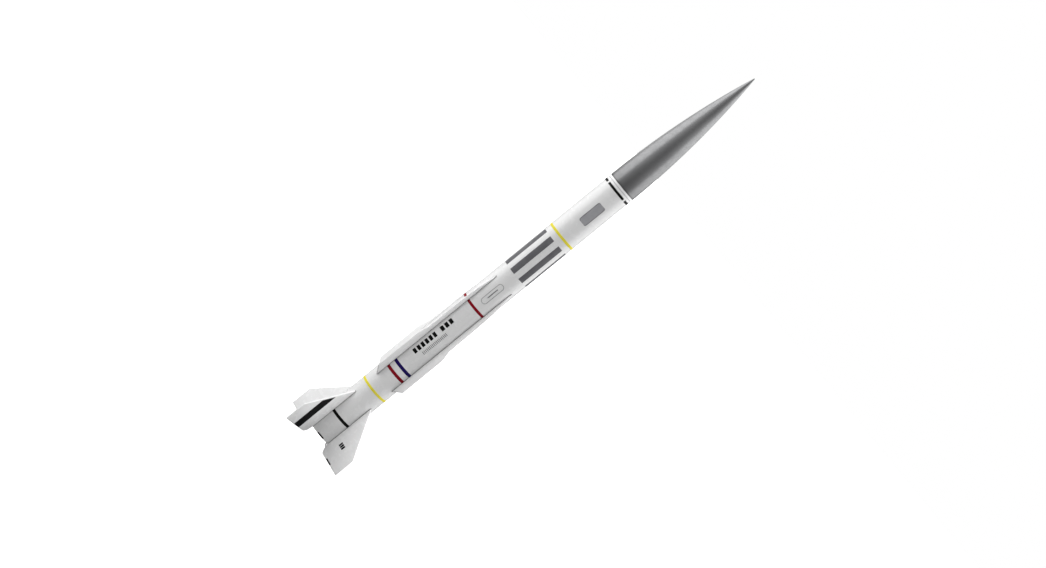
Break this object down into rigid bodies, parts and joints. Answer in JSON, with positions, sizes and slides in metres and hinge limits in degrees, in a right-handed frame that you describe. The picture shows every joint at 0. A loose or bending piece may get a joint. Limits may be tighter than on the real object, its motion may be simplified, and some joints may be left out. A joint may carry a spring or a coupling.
{
  "type": "model rocket",
  "caption": "Slender flying model rocket with an ogive nose, swept tail fins, long side strakes, painted bands and a spring-hook motor mount.",
  "frame": {"origin": "on the rocket's axis, on the floor plane that the four fins' flat trailing edges stand on", "axes": "+Z along the rocket's axis towards its nose; the fins and strakes stand on the diagonals between X and Y; -Y is the side with the engine hook and the hatch patch, and +Y the side with the launch lugs"},
  "size_m": [0.095, 0.095, 0.702],
  "materials": {
    "white_gloss": "smooth gloss white paint",
    "nose_silver": "satin silver-grey paint over moulded plastic",
    "plug_plastic": "moulded plastic, as it leaves the mould",
    "kraft_paper": "wound brown paper tube, uncoated",
    "ring_board": "die-cut light wood board, bare",
    "spring_steel": "rolled strip, slightly dull",
    "elastic": "woven elastic braid",
    "canopy_film": "thin folded plastic film, slightly shiny",
    "line_thread": "twisted thread",
    "film_black": "thin printed film, slightly shiny",
    "film_yellow": "thin printed film, slightly shiny",
    "film_red": "thin printed film, slightly shiny",
    "film_blue": "thin printed film, slightly shiny",
    "film_grey": "thin printed film, slightly shiny",
    "film_pale_grey": "thin printed film, slightly shiny"
  },
  "bodies": {
    "airframe": {"body_tube": "white_gloss", "fin_1": "white_gloss", "fin_2": "white_gloss", "fin_3": "white_gloss", "fin_4": "white_gloss", "strake_1": "white_gloss", "strake_2": "white_gloss", "strake_3": "white_gloss", "strake_4": "white_gloss", "launch_lug_aft": "white_gloss", "launch_lug_fore": "white_gloss", "motor_tube": "kraft_paper", "thrust_ring": "kraft_paper", "hook_band": "kraft_paper", "centering_ring_aft": "ring_board", "centering_ring_fore": "ring_board", "engine_hook_strip": "spring_steel", "shock_cord": "elastic", "cord_tie": "elastic", "band_black_aft": "film_black", "dash_1": "film_black", "dash_2": "film_black", "dash_3": "film_black", "dash_4": "film_black", "band_yellow_aft": "film_yellow", "band_yellow_fore": "film_yellow", "band_red_aft": "film_red", "band_red_fore": "film_red", "band_blue": "film_blue", "panel_stripe_1": "film_grey", "panel_stripe_2": "film_grey", "panel_stripe_3": "film_grey", "panel_stripe_4": "film_grey", "panel_stripe_5": "film_grey", "panel_stripe_6": "film_grey", "panel_stripe_7": "film_grey", "panel_stripe_8": "film_grey", "hatch_film": "film_pale_grey"},
    "nose": {"nose_cone": "nose_silver", "nose_plug": "plug_plastic", "parachute_roll": "canopy_film", "shroud_line_wrap": "line_thread", "shroud_line_run": "line_thread"},
    "hook": {"engine_hook_arm": "spring_steel"}
  },
  "joints": [
    {"name": "nose_slide", "type": "slide", "parent": "airframe", "child": "nose", "axis": [0, 0, 1], "range_m": [0, 0.048], "deforming": ["shock_cord"]},
    {"name": "hook_flex", "type": "hinge", "parent": "airframe", "child": "hook", "pos_m": [0, -0.01305, 0.049], "axis": [-1, 0, 0], "range_deg": [0, 6], "stiffness_Nm_per_rad": 1}
  ]
}
